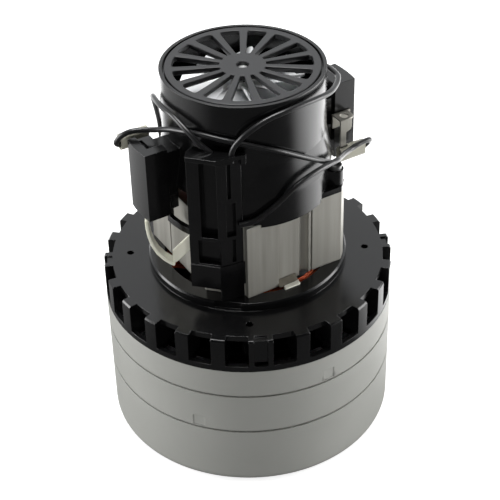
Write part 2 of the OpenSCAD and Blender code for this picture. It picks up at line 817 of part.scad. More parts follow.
module terminal_post() {
    rib = 1.1;
    recess_depth = 4;
    slot1_w = 1.8;
    slot2_w = 4.6;
    slot_depth = 2;
    slot_gap = 2;
    slot1_h = 18.5;
    lip_t = 2;
    lip_out = 1.4;
    lip_drop = 5;
    tab_t = 1.8;
    upper_h = post_top_z - lip_t - post_ledge1_z;
    slot2_h = upper_h - slot1_h - 3 * slot_gap;
    color([0.07, 0.07, 0.08])
        difference() {
            union() {
                translate([0, 0, post_box_z]) linear_extrude(post_top_z - post_box_z) post_plan();
                translate([0, 0, post_box_z]) linear_extrude(post_box_h) post_plan(0.6 * edge_break);
                translate([0, 0, post_top_z - lip_t]) linear_extrude(lip_t + edge_break / 4) post_plan(lip_out);
                on_right_face()
                    translate([post_right_w - rib, -lip_out, post_top_z - lip_drop])
                    cube([lip_out + rib, lip_out + rib, lip_drop]);
                translate([0, 0, stator_z])
                    linear_extrude(post_foot_h + cut)
                    intersection() {
                        post_plan();
                        on_right_face() translate([rib / 2, -cut]) square([post_right_w - rib, tab_t + cut]);
                    }
            }
            on_left_face() {
                translate([post_left_w - rib / 4 - 0.56 * post_left_w, -2 * cut, post_ledge1_z + rib])
                    cube([0.56 * post_left_w, recess_depth + 2 * cut, upper_h - rib]);
                translate([post_left_w - rib / 4 - 0.68 * post_left_w, -2 * cut, post_ledge2_z + rib])
                    cube([0.68 * post_left_w, 0.7 * recess_depth + 2 * cut, post_low_h - 1.5 * rib]);
            }
            on_right_face() {
                translate([0.39 * post_right_w, -cut, post_top_z - lip_t - slot_gap - slot1_h])
                    cube([slot1_w, slot_depth + cut, slot1_h]);
                translate([0.33 * post_right_w, -cut, post_ledge1_z + slot_gap / 2])
                    cube([slot2_w, slot_depth + cut, slot2_h]);
                translate([0.52 * post_right_w, -cut, post_ledge2_z + rib])
                    cube([slot1_w, slot_depth + cut, post_low_h - 2 * rib]);
                translate([-rib, -2 * cut, post_ledge2_z + rib])
                    cube([rib + 0.08 * post_right_w, 0.7 * recess_depth + 2 * cut, post_low_h - 1.5 * rib]);
            }
        }
}

// Brush box: its inner wall stands on the neck and lets the tube through. The left
// one is lower, with a step and a slot in its roof
left_box_drop = 4.8;

box_foot_z = brush_z - box_h / 2 - edge_break;

module brush_box(drop) {
    low = box_foot_z;
    high = low + box_h - drop;
    roof_t = 2 * box_wall;
    step_y = 5.3;
    step_depth = 1.5;
    slot_w = 2.6;
    slot_inset = 4.4;
    difference() {
        translate([0, 0, low])
            linear_extrude(high - low)
            intersection() {
                translate([box_x, -box_w / 2]) square([box_d, box_w]);
                circle(box_reach);
            }
        translate([box_x + box_wall, box_wall - box_w / 2, low + box_wall])
            cube([box_d - 2 * box_wall, box_w - 2 * box_wall, high - low - box_wall - roof_t]);
        translate([box_x - cut, -tube_w / 2 - fit, brush_z - tube_h / 2 - fit])
            cube([box_wall + 2 * cut, tube_w + 2 * fit, tube_h + 2 * fit]);
        translate([clip_tongue_x - fit, -box_w / 2 - cut, brush_z - clip_tongue_h / 2 - fit])
            cube([clip_t + 2 * fit, box_wall + 2 * cut, clip_tongue_h + 2 * fit]);
        if (drop > 0) {
            translate([box_x - cut, -box_w / 2 - cut, high - step_depth])
                cube([cut + box_d - slot_inset, box_w - step_y + cut, step_depth + cut]);
            translate([box_reach - slot_inset - slot_w, -box_w / 2 + box_wall, high - roof_t + edge_break])
                cube([slot_w, box_w - step_y - box_wall, roof_t]);
        }
    }
}

module left_brush_box() { color([0.08, 0.08, 0.09]) rotate([0, 0, 180]) brush_box(left_box_drop); }
module right_brush_box() { color([0.08, 0.08, 0.09]) brush_box(0); }

// Brass tube that guides the carbon brush
tube_inner_x = commutator_r + 4;
module brush_tube() {
    reach = box_x + 2 * box_wall - tube_inner_x;
    difference() {
        translate([tube_inner_x, -tube_w / 2, brush_z - tube_h / 2]) cube([reach, tube_w, tube_h]);
        translate([tube_inner_x - cut, -brush_w / 2 - tube_clear, brush_z - brush_h / 2 - tube_clear])
            cube([reach + 2 * cut, brush_w + 2 * tube_clear, brush_h + 2 * tube_clear]);
    }
}

module left_brush_tube() { color([0.8, 0.65, 0.3]) rotate([0, 0, 180]) brush_tube(); }
module right_brush_tube() { color([0.8, 0.65, 0.3]) brush_tube(); }

module carbon_brush() {
    difference() {
        translate([commutator_r - cut, -brush_w / 2, brush_z - brush_h / 2])
            cube([brush_l + cut, brush_w, brush_h]);
        translate([0, 0, brush_z - brush_h]) cylinder(r = commutator_r + fit, h = 2 * brush_h);
    }
}

module left_carbon_brush() { color([0.2, 0.2, 0.2]) rotate([0, 0, 180]) carbon_brush(); }
module right_carbon_brush() { color([0.2, 0.2, 0.2]) carbon_brush(); }

// Terminal clip: a tongue through the box's wall behind the spring, a plate on the
// wall, a rounded flap with a hole, a front bent down from it and a tail in the sleeve
clip_t = 0.8;
clip_tongue_h = 8;
clip_tongue_x = box_reach - box_wall - 3 * clip_t;
clip_y = -box_w / 2 - clip_t;
flap_reach = 7;
flap_inset = 1.8;
flap_x = box_x - flap_inset;
flap_rise = 3;
tail_y = clip_y - flap_reach;
tail_w = 3.6;
right_tail_h = 18;
left_tail_h = 13;

module brush_terminal(tail_h) {
    flap_w = 8.8;
    corner = 2.6;
    hole_r = 1.6;
    front_h = 6.2;
    flap_z = brush_z + flap_rise;
    translate([clip_tongue_x, clip_y, brush_z - clip_tongue_h / 2])
        cube([clip_t, box_w / 2 + clip_t + brush_w / 2, clip_tongue_h]);
    translate([flap_x, clip_y, brush_z - clip_tongue_h / 2])
        cube([clip_tongue_x + clip_t - flap_x, clip_t, clip_tongue_h / 2 + flap_rise]);
    translate([0, 0, flap_z - clip_t])
        linear_extrude(clip_t)
        difference() {
            union() {
                translate([flap_x, tail_y]) square([flap_w - corner, flap_reach + clip_t]);
                translate([flap_x, tail_y + corner]) square([flap_w, flap_reach - corner + clip_t]);
                translate([flap_x + flap_w - corner, tail_y + corner]) circle(corner);
            }
            translate([flap_x + flap_w / 2, tail_y + flap_reach / 2]) circle(hole_r);
        }
    translate([flap_x, tail_y, flap_z - front_h]) cube([flap_w - corner, clip_t, front_h]);
    translate([flap_x, tail_y, flap_z - tail_h]) cube([tail_w, clip_t, tail_h]);
}

module left_brush_terminal() {
    color([0.75, 0.68, 0.5])
        translate([0, 0, 2 * brush_z])
        mirror([0, 0, 1])
        rotate([0, 0, 180])
        brush_terminal(left_tail_h);
}
module right_brush_terminal() { color([0.75, 0.68, 0.5]) brush_terminal(right_tail_h); }

// Flat insulating sleeves over the tails, each with a notch that lets the tail in
sleeve_wall = 0.7;
sleeve_w = 8.4;
sleeve_d = 4.4;
sleeve_l = 14.5;
sleeve_lead = 0.6;
sleeve_y = tail_y + clip_t / 2;
right_sleeve_z = brush_z + flap_rise - right_tail_h;
left_sleeve_z = brush_z - flap_rise + left_tail_h;

module sleeve() {
    bore_w = sleeve_w - 2 * sleeve_wall;
    bore_d = sleeve_d - 2 * sleeve_wall;
    translate([flap_x - sleeve_lead, sleeve_y, 0])
        rotate([0, 90, 0])
        difference() {
            linear_extrude(sleeve_l)
                difference() {
                    union() {
                        square([sleeve_w - sleeve_d, sleeve_d], center = true);
                        for (s = [-1, 1]) translate([s * (sleeve_w - sleeve_d) / 2, 0]) circle(sleeve_d / 2);
                    }
                    square([bore_w - bore_d, bore_d], center = true);
                    for (s = [-1, 1]) translate([s * (bore_w - bore_d) / 2, 0]) circle(bore_d / 2);
                }
            translate([-sleeve_w, -bore_d / 3, -cut])
                cube([sleeve_w, 2 * bore_d / 3, tail_w + 2 * sleeve_lead + cut]);
        }
}

module left_lead_sleeve() {
    color("ivory")
        translate([0, 0, left_sleeve_z])
        mirror([0, 0, 1])
        rotate([0, 0, 180])
        sleeve();
}
module right_lead_sleeve() { color("ivory") translate([0, 0, right_sleeve_z]) sleeve(); }

// Brush spring between the brush's tail and the tongue
spring_wire = 0.7;
spring_r = 2.4;
spring_curls = 8;
spring_rings = 8;
spring_from = commutator_r + brush_l + spring_wire / 2 + fit;
spring_to = clip_tongue_x - spring_wire / 2 - fit;

module brush_spring() {
    n = spring_curls * spring_rings;
    path = [for (i = [0:n])
        let (a = i * 360 / spring_rings,
            end = min(1, min(i, n - i) / spring_rings),
            t = i < n / 2 ? max(0, i - spring_rings / 2) : min(n - spring_rings, i - spring_rings / 2))
        [spring_from + (spring_to - spring_from) * t / (n - spring_rings),
            spring_r * cos(a), brush_z + spring_r * sin(a)]];
    swept(path, spring_wire / 2, spring_wire / 2, 6);
}

module left_brush_spring() { color("silver") rotate([0, 0, 180]) brush_spring(); }
module right_brush_spring() { color("silver") brush_spring(); }

// White strap that sags from the left box's foot and folds up to the back of the
// post, drawn in a view turned to face it: u to the right, v away, z up
strap_turn = -30;
strap_t = 1;
strap_near_v = -34.9;
strap_w = 6;
sag_u = [-46.4, -45.9, -44.4, -41.6, -38, -34.6];
sag_z = [box_foot_z - fit, 129.6, 123.4, 116.8, 112.4, 110.2];
rise_u = [-35.2, -26.2];
rise_z = [108.6, 118.6];
rise_h = 8.6;
rise_v = -32.2;

module insulating_strap() {
    thick = 1.5 * strap_t;
    color("white")
        rotate([0, 0, strap_turn])
        rotate([90, 0, 0])
        union() {
            translate([0, 0, -strap_near_v - strap_w])
                linear_extrude(strap_w)
                polygon(concat([for (i = [0:5]) [sag_u[i], sag_z[i]]],
                    [for (i = [5:-1:0]) [sag_u[i] - 0.7 * thick, sag_z[i] - thick]]));
            translate([0, 0, -rise_v - strap_t])
                linear_extrude(strap_t)
                polygon([[rise_u[0], rise_z[0]], [rise_u[1], rise_z[1]],
                    [rise_u[1], rise_z[1] + rise_h], [rise_u[0], rise_z[0] + rise_h]]);
        }
}

// Ball bearings: grooved outer ring and inner race with a set of balls between
pitch_r = 7.5;
ball_r = 1.98;
ball_count = 7;
groove_r_ball = ball_r + fit;
race_r = 6.4;

module bearing_half(outer, inner, z) {
    translate([0, 0, z])
        rotate_extrude()
        difference() {
            translate([inner, 0]) square([outer - inner, bearing_h]);
            translate([pitch_r, bearing_h / 2]) circle(groove_r_ball, $fn = 48);
        }
}

module bearing_balls(z) {
    for (k = [0:ball_count - 1])
        rotate([0, 0, k * 360 / ball_count])
            translate([pitch_r, 0, z + bearing_h / 2])
            sphere(ball_r, $fn = 24);
}

module lower_bearing_ring() {
    color("silver") bearing_half(bearing_r, 2 * pitch_r - race_r, lower_bearing_z);
}
module upper_bearing_ring() {
    color("silver") bearing_half(bearing_r, 2 * pitch_r - race_r, upper_bearing_z);
}
module lower_bearing_race() { color("silver") bearing_half(race_r, shaft_r, lower_bearing_z); }
module upper_bearing_race() { color("silver") bearing_half(race_r, shaft_r, upper_bearing_z); }
module lower_bearing_balls() { color("silver") bearing_balls(lower_bearing_z); }
module upper_bearing_balls() { color("silver") bearing_balls(upper_bearing_z); }

module wave_washer() {
    color("silver") ring(bearing_r - 2 * fit, lip_r, upper_bearing_z - washer_h, washer_h);
}

// Long bolts from the housing's lugs down into the bracket
module housing_bolts() {
    lug_top = stator_top + lug_h - lug_sink;
    recess_r = 1.6;
    color("silver")
        at_bolts()
        difference() {
            union() {
                translate([0, 0, stator_z - bolt_sink + cut])
                    cylinder(r = bolt_r, h = lug_top - stator_z + bolt_sink - cut / 2);
                translate([0, 0, lug_top]) cylinder(r = bolt_head_r, h = bolt_head_h);
            }
            translate([0, 0, lug_top + bolt_head_h / 2])
                cylinder(r = recess_r, h = bolt_head_h, $fn = 6);
        }
}

// Rotor
fan_depth = 14.8;
fan_disc_z = rim_z - fan_depth;
fan_disc_t = 1.2;
shaft_low_z = 5;
shaft_top_depth = 4;
shaft_top_z = rim_z - shaft_top_depth;
spacer_r = 8;
neck_r = 6;
nut_r = 6.2;
nut_h = 5.5;
clamp_r = 12;
clamp_t = 1.5;

module shaft() {
    color("silver")
        translate([0, 0, shaft_low_z]) cylinder(r = shaft_r, h = shaft_top_z - shaft_low_z);
}

module armature_core() {
    core_r = stator_bore_r - air_gap;
    slots = commutator_bars / 2;
    slot_w = 2.4;
    slot_root = core_r * 0.58;
    tooth_gap = 1.6;
    color([0.6, 0.6, 0.58])
        translate([0, 0, stator_z])
        linear_extrude(stator_h)
        difference() {
            circle(core_r);
            circle(shaft_r);
            for (k = [0:slots - 1])
                rotate(k * 360 / slots) {
                    translate([slot_root, -slot_w / 2]) square([core_r - slot_root - slot_w / 2, slot_w]);
                    translate([slot_root, -tooth_gap / 2]) square([core_r, tooth_gap]);
                }
        }
}

module armature_winding() {
    inner = 6.5;
    outer = 20;
    droop = 11.4;
    round_r = 4.5;
    color([0.7, 0.32, 0.16])
        for (end = [0, 1])
            translate([0, 0, stator_z + end * stator_h])
                mirror([0, 0, end == 0 ? 1 : 0])
                rotate_extrude()
                union() {
                    translate([inner, 0]) square([outer - inner, droop - round_r]);
                    translate([inner, 0]) square([outer - inner - round_r, droop]);
                    translate([outer - round_r, droop - round_r]) circle(round_r);
                }
}

module commutator() {
    bar_gap = 0.5;
    core_share = 0.72;
    low = brush_z - commutator_h / 2;
    color([0.75, 0.42, 0.25])
        difference() {
            ring(commutator_r, shaft_r, low, commutator_h);
            for (k = [0:commutator_bars - 1])
                rotate([0, 0, k * 360 / commutator_bars])
                    translate([commutator_r - cut, -bar_gap / 2, low - cut])
                    cube([2 * cut, bar_gap, commutator_h + 2 * cut]);
        }
}

module cooling_fan() {
    root_r = 10;
    blade_t = 1.2;
    skew = 28;
    color("lightgray")
        union() {
            ring(cooling_fan_r - 2 * cut, shaft_r, fan_disc_z, fan_disc_t);
            ring(root_r, shaft_r, fan_disc_z, fan_disc_t + cooling_blade_h / 2);
            for (k = [0:cooling_blades - 1])
                rotate([0, 0, k * 360 / cooling_blades])
                    translate([root_r * 0.9, 0, fan_disc_z + fan_disc_t / 2])
                    rotate([0, 0, skew])
                    rotate([90, 0, 0])
                    translate([0, 0, -blade_t / 2])
                    linear_extrude(blade_t)
                    polygon([[0, 0], [cooling_fan_r - 1.35 * root_r, 0],
                        [cooling_fan_r - 1.2 * root_r, cooling_blade_h],
                        [cooling_fan_r - 1.5 * root_r, cooling_blade_h], [0, cooling_blade_h / 2]]);
        }
}

module impeller_spacers() {
    color("silver") {
        ring(spacer_r, shaft_r, lower_fan_top, middle_fan_top - impeller_sheet - lower_fan_top);
        ring(spacer_r, shaft_r, middle_fan_top, upper_fan_top - impeller_sheet - middle_fan_top);
        ring(neck_r, shaft_r, upper_fan_top + clamp_t, lower_bearing_z - upper_fan_top - clamp_t);
        ring(neck_r, shaft_r, upper_bearing_z + bearing_h, fan_disc_z - upper_bearing_z - bearing_h);
    }
}

module clamp_washers() {
    color("silver") {
        ring(clamp_r, shaft_r, lower_fan_top - impeller_sheet - clamp_t, clamp_t);
        ring(clamp_r, shaft_r, upper_fan_top, clamp_t);
    }
}

module shaft_nuts() {
    low = lower_fan_top - impeller_sheet - clamp_t - nut_h;
    high = fan_disc_z + fan_disc_t + cooling_blade_h / 2;
    color("silver")
        difference() {
            union() {
                translate([0, 0, low]) cylinder(r = nut_r, h = nut_h, $fn = 6);
                translate([0, 0, high]) cylinder(r = nut_r, h = nut_h / 1.4, $fn = 6);
            }
            translate([0, 0, low - cut]) cylinder(r = shaft_r, h = rim_z);
        }
}

// Leads: route points in order along each lead
left_brush_route = [[-52, 16.1, 165.4], [-57.6, 16.1, 165.6], [-60, 15, 168], [-58.4, 12.4, 172.4],
    [-54.6, 9.8, 174.9], [-50.2, 7.8, 175.2], [-45.4, 3.6, 176], [-41.2, -3, 178.2], [-39, -10.6, 180.5],
    [-35.2, -19.9, 182.6], [-29.4, -27.8, 182.2], [-23.6, -32.8, 180.9], [-15, -37.5, 178],
    [-6.1, -40.1, 174.3], [5.4, -40.6, 167.8], [14.5, -39, 162], [22.3, -36, 156.6],
    [26.6, -33.4, 153.2], [28.4, -31.4, 150.8]];
right_brush_route = [[52, -16.1, 141.6], [57.6, -16.1, 141.8], [60.4, -17, 144.4], [58.6, -19.6, 147.4],
    [52.4, -20.4, 147.6], [46.4, -21.6, 147], [40.4, -25.4, 148.8], [34.2, -31.1, 151.9],
    [28.1, -36.5, 155.2], [14.3, -41.6, 157.2], [1.9, -43.6, 155], [-10.4, -42.3, 146.1],
    [-18.8, -39.6, 140.4], [-24.9, -36.6, 138.5]];
left_supply_route = [[-33.4, -27.8, 172.4], [-33.6, -27.4, 176], [-36.6, -23, 179.4], [-39.4, -17, 184],
    [-41, -7.8, 187.2], [-41.2, 1, 187], [-39.8, 10.8, 185.6], [-37, 20.4, 183], [-33, 28, 176],
    [-28, 35.4, 164], [-23.6, 42, 150], [-21, 46.6, 128], [-19.4, 50, 108], [-17.6, 54, 96.6],
    [-12.4, 57.6, 93.5], [-6, 59, 93.5]];
right_supply_route = [[-27, -34.4, 172.4], [-26.6, -34.2, 177], [-25, -35.2, 181.4], [-20.4, -37.6, 187],
    [-11.6, -39.6, 192], [-0.1, -41, 194.4], [13.6, -39, 193.8], [24.6, -34.6, 191.8],
    [32.6, -28.4, 190.2], [38.4, -21.8, 189.6], [40.4, -15.6, 189], [41.4, -6, 187.4],
    [42.4, 6, 181], [42.8, 16, 170], [42.8, 20.6, 152], [45, 22.6, 128],
    [48.6, 24.4, 108], [52.4, 26.4, 96.8], [52.2, 31, 93.5], [48.8, 36, 93.5]];

module lead(route) { swept(smooth_route(route, 2), lead_d / 2, lead_d / 2, 8); }

module left_brush_lead() { color([0.1, 0.1, 0.1]) lead(left_brush_route); }
module right_brush_lead() { color([0.1, 0.1, 0.1]) lead(right_brush_route); }
module left_supply_lead() { color([0.1, 0.1, 0.1]) lead(left_supply_route); }
module right_supply_lead() { color([0.1, 0.1, 0.1]) lead(right_supply_route); }

// Tab terminals crimped on the supply leads, lying on the bracket's plate
module lead_terminal(at, turn) {
    barrel_r = 1.9;
    barrel_l = 5;
    tab_l = 8;
    tab_w = 4.8;
    tab_t = 0.8;
    translate(at)
        rotate([0, 0, turn])
        translate([fit, 0, 0]) {
            rotate([0, 90, 0]) cylinder(r = barrel_r, h = barrel_l);
            translate([barrel_l - cut, -tab_w / 2, -barrel_r]) cube([tab_l + cut, tab_w, tab_t]);
        }
}

module left_lead_terminal() {
    color("silver") lead_terminal(left_supply_route[len(left_supply_route) - 1], 8);
}
module right_lead_terminal() {
    color("silver") lead_terminal(right_supply_route[len(right_supply_route) - 1], 126);
}

lower_fan_shell();
middle_fan_shell();
upper_fan_shell();
lower_guide_plate();
upper_guide_plate();
discharge_bracket();
stator_core();
front_field_coil();
rear_field_coil();
front_coil_frame();
rear_coil_frame();
motor_housing();
fan_cover();
terminal_post();
left_brush_box();
right_brush_box();
left_brush_tube();
right_brush_tube();
left_brush_terminal();
right_brush_terminal();
left_brush_spring();
right_brush_spring();
left_lead_sleeve();
right_lead_sleeve();
insulating_strap();
left_brush_lead();
right_brush_lead();
lower_bearing_ring();
upper_bearing_ring();
lower_bearing_balls();
upper_bearing_balls();
lower_bearing_race();
upper_bearing_race();
wave_washer();
housing_bolts();
left_carbon_brush();
right_carbon_brush();
shaft();
armature_core();
armature_winding();
commutator();
cooling_fan();
lower_impeller();
middle_impeller();
upper_impeller();
impeller_spacers();
clamp_washers();
shaft_nuts();
left_supply_lead();
right_supply_lead();
left_lead_terminal();
right_lead_terminal();
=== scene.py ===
import json
import math
import random

import bmesh
import bpy
from mathutils import Matrix, Vector


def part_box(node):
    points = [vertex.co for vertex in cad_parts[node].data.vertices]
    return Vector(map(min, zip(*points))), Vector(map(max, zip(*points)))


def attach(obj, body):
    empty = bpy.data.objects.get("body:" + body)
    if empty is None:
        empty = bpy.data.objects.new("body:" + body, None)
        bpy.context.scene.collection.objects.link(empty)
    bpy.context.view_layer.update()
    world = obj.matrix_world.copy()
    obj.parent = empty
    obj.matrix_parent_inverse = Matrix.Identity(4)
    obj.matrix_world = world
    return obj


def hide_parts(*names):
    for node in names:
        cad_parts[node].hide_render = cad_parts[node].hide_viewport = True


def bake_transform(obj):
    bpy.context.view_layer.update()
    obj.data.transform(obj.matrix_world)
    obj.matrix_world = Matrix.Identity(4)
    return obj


MM = 0.001
rng = random.Random(7)

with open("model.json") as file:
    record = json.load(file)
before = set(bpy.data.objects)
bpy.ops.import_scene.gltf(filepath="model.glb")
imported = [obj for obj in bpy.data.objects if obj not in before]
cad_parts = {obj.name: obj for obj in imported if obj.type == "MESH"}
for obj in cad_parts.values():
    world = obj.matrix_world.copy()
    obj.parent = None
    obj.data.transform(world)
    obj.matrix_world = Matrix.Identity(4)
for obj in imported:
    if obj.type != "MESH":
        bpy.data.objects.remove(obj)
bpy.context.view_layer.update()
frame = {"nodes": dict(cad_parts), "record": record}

# The camera fitted to the photograph: how far round the motor's axis it stands, its
# angles in degrees, its place along its own plan in metres, and its lens in millimetres
TURN = math.radians(30)
PITCH, ROLL, YAW = 36.684, -1.438, 0.123
STANDS_AT = (0, -0.58018, 0.52347)
LENS, SENSOR = 103.19, 36


def place(x, y, z):
    """A point given along the camera's right, its viewing direction and up, in the row frame."""
    c, s = math.cos(TURN), math.sin(TURN)
    return Vector((x * c + y * s, -x * s + y * c, z))


def camera():
    pitch, roll, yaw = (math.radians(a) for a in (PITCH, ROLL, YAW))
    right = (math.cos(roll), math.sin(roll) * math.sin(pitch), math.sin(roll) * math.cos(pitch))
    up = (-math.sin(roll), math.cos(roll) * math.sin(pitch), math.cos(roll) * math.cos(pitch))
    ahead = (0, math.cos(pitch), -math.sin(pitch))
    axes = []
    for v in (right, up, ahead):
        x = v[0] * math.cos(yaw) + v[1] * math.sin(yaw)
        y = -v[0] * math.sin(yaw) + v[1] * math.cos(yaw)
        axes.append(place(x, y, v[2]).normalized())
    data = bpy.data.cameras.new("camera")
    data.sensor_width = SENSOR
    data.lens = LENS
    data.clip_end = 20
    cam = bpy.data.objects.new("camera", data)
    bpy.context.collection.objects.link(cam)
    m = Matrix((axes[0], axes[1], -axes[2])).transposed().to_4x4()
    m.translation = place(*STANDS_AT)
    cam.matrix_world = m
    bpy.context.scene.camera = cam


# Materials


def new_material(name):
    m = bpy.data.materials.new(name)
    m.use_nodes = True
    return m, m.node_tree.nodes, m.node_tree.links, m.node_tree.nodes["Principled BSDF"]


def coords(nodes, links, scale=(1, 1, 1)):
    tex = nodes.new("ShaderNodeTexCoord")
    mapping = nodes.new("ShaderNodeMapping")
    mapping.inputs["Scale"].default_value = scale
    links.new(tex.outputs["Object"], mapping.inputs["Vector"])
    return mapping.outputs["Vector"]


def noise_at(nodes, links, vector, scale, detail=3, rough=0.55):
    n = nodes.new("ShaderNodeTexNoise")
    n.inputs["Scale"].default_value = scale
    n.inputs["Detail"].default_value = detail
    n.inputs["Roughness"].default_value = rough
    links.new(vector, n.inputs["Vector"])
    return n.outputs["Fac"]


def spread(nodes, links, value, low, high, start=0.3, end=0.7):
    """The value brought from the range start to end into the range low to high."""
    r = nodes.new("ShaderNodeMapRange")
    r.inputs["From Min"].default_value = start
    r.inputs["From Max"].default_value = end
    r.inputs["To Min"].default_value = low
    r.inputs["To Max"].default_value = high
    links.new(value, r.inputs["Value"])
    return r.outputs["Result"]


def blend_colours(nodes, links, value, a, b, start=0.3, end=0.7):
    ramp = nodes.new("ShaderNodeValToRGB")
    ramp.color_ramp.elements[0].position = start
    ramp.color_ramp.elements[0].color = (*a, 1)
    ramp.color_ramp.elements[1].position = end
    ramp.color_ramp.elements[1].color = (*b, 1)
    links.new(value, ramp.inputs["Fac"])
    return ramp.outputs["Color"]


def bump(nodes, links, value, shader, strength, distance, round_r=0):
    b = nodes.new("ShaderNodeBump")
    b.inputs["Strength"].default_value = strength
    b.inputs["Distance"].default_value = distance
    links.new(value, b.inputs["Height"])
    if round_r:
        bevel = nodes.new("ShaderNodeBevel")
        bevel.samples = 4
        bevel.inputs["Radius"].default_value = round_r
        links.new(bevel.outputs["Normal"], b.inputs["Normal"])
    links.new(b.outputs["Normal"], shader.inputs["Normal"])


def surface(name, dark, light, rough, grain=900, grain_size=0.00003, strength=0.25, metallic=0,
            stretch=(1, 1, 1), patch=60, round_r=0.0003, specular=0.5, sheets=0):
    """A material with patchy tone, patchy gloss and a fine grain, rounded at its edges.

    dark, light and rough are the ranges of colour and roughness; patch and grain are noise
    scales; sheets is the thickness of stacked sheets whose edges show as lines, in metres."""
    m, nodes, links, shader = new_material(name)
    at = coords(nodes, links, stretch)
    wide = noise_at(nodes, links, at, patch, 4)
    fine = noise_at(nodes, links, at, grain, 2)
    if sheets:
        # Blender's bands repeat every pi / (10 * scale)
        wave = nodes.new("ShaderNodeTexWave")
        wave.bands_direction = "Z"
        wave.inputs["Scale"].default_value = math.pi / (10 * sheets)
        links.new(coords(nodes, links), wave.inputs["Vector"])
        add = nodes.new("ShaderNodeMath")
        links.new(wave.outputs["Fac"], add.inputs[0])
        links.new(fine, add.inputs[1])
        fine = add.outputs["Value"]
    links.new(blend_colours(nodes, links, wide, dark, light), shader.inputs["Base Color"])
    links.new(spread(nodes, links, wide, rough[0], rough[1]), shader.inputs["Roughness"])
    bump(nodes, links, fine, shader, strength, grain_size, round_r)
    shader.inputs["Metallic"].default_value = metallic
    shader.inputs["Specular IOR Level"].default_value = specular
    return m


MATERIALS = {
    "coated_case_steel": surface("coated_case_steel", (0.355, 0.358, 0.334), (0.39, 0.393, 0.368),
                                 (0.45, 0.53), grain=700, strength=0.15, patch=22, round_r=0.0006),
    "black_moulding": surface("black_moulding", (0.0022, 0.0022, 0.0024), (0.004, 0.004, 0.0042),
                              (0.17, 0.25), grain=1400, strength=0.12, round_r=0.0004),
    "black_grille": surface("black_grille", (0.01, 0.01, 0.011), (0.014, 0.014, 0.015),
                            (0.3, 0.38), grain=1400, strength=0.15, round_r=0.0002),
    # The fan's near-white, mostly diffuse colour is paler than its aluminium, to stand for the bright
    # highlights its blades catch: partly painted highlight.
    "fan_aluminium": surface("fan_aluminium", (0.76, 0.77, 0.78), (0.84, 0.85, 0.86), (0.3, 0.45),
                             grain=500, metallic=0.12, patch=40),
    "lamination_steel": surface("lamination_steel", (0.27, 0.262, 0.232), (0.37, 0.362, 0.328),
                                (0.38, 0.5), metallic=0.5, stretch=(6, 6, 0.3), patch=30,
                                grain=160, grain_size=0.00008, strength=0.3, sheets=0.0005),
    "winding_copper": surface("winding_copper", (0.42, 0.058, 0.017), (0.6, 0.115, 0.036),
                              (0.22, 0.34), metallic=0.5, patch=140, round_r=0),
    "white_insulation": surface("white_insulation", (0.7, 0.69, 0.6), (0.8, 0.79, 0.7), (0.4, 0.5)),
    "sleeve_ivory": surface("sleeve_ivory", (0.34, 0.33, 0.27), (0.46, 0.45, 0.38), (0.3, 0.42)),
    "tube_brass": surface("tube_brass", (0.6, 0.42, 0.16), (0.74, 0.56, 0.26), (0.25, 0.4), metallic=1),
    "terminal_metal": surface("terminal_metal", (0.24, 0.232, 0.205), (0.33, 0.32, 0.285), (0.34, 0.46),
                              metallic=0.75),
    "lead_insulation": surface("lead_insulation", (0.006, 0.006, 0.0065), (0.01, 0.01, 0.0105),
                               (0.26, 0.38), grain=1100, strength=0.2, round_r=0),
    "bearing_steel": surface("bearing_steel", (0.6, 0.6, 0.61), (0.72, 0.72, 0.73), (0.12, 0.2),
                             metallic=1),
    "bright_steel": surface("bright_steel", (0.5, 0.5, 0.49), (0.64, 0.64, 0.63), (0.22, 0.36),
                            metallic=1),
    "brush_carbon": surface("brush_carbon", (0.02, 0.02, 0.021), (0.05, 0.05, 0.052), (0.5, 0.7)),
}
PAPER = surface("insulating_paper", (0.09, 0.082, 0.062), (0.17, 0.155, 0.12), (0.6, 0.75), patch=130)
IVORY = surface("strap_ivory", (0.86, 0.85, 0.7), (0.92, 0.91, 0.78), (0.3, 0.42), patch=50)
ZINC = surface("zinc_grey", (0.2, 0.2, 0.2), (0.28, 0.28, 0.275), (0.3, 0.42), metallic=0.9)


def finish_nodes():
    slots = {s["node"]: s["material_slot"] for s in frame["record"]["subparts"]}
    for node, obj in frame["nodes"].items():
        obj.data.materials.clear()
        obj.data.materials.append(ZINC if node == "housing_bolts" else MATERIALS[slots[node]])


# Leads


def smooth(points, steps=8):
    """The part's route rule: a smooth line through the points, in millimetres."""
    pts = [Vector(p) for p in points]
    pick = lambda i: pts[max(0, min(len(pts) - 1, i))]
    line = []
    for i in range(len(pts) - 1):
        a, b, c, d = (pick(i + k) for k in (-1, 0, 1, 2))
        for s in range(steps):
            t = s / steps
            line.append((2 * b + (c - a) * t + (2 * a - 5 * b + 4 * c - d) * t * t
                         + (3 * b - a - 3 * c + d) * t * t * t) / 2)
    line.append(pts[-1])
    return [p * MM for p in line]


def tube_curve(name, line, radius, material, sides=6):
    data = bpy.data.curves.new(name, "CURVE")
    data.dimensions = "3D"
    data.bevel_depth = radius
    data.bevel_resolution = sides
    data.use_fill_caps = True
    spline = data.splines.new("POLY")
    spline.points.add(len(line) - 1)
    for point, co in zip(spline.points, line):
        point.co = (*co, 1)
    obj = bpy.data.objects.new(name, data)
    bpy.context.collection.objects.link(obj)
    data.materials.append(material)
    return obj


def stands_for(obj, body, slot, *nodes):
    """The piece rides on the body in place of the nodes. The slot is not used."""
    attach(obj, body)
    if nodes:
        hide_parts(*nodes)


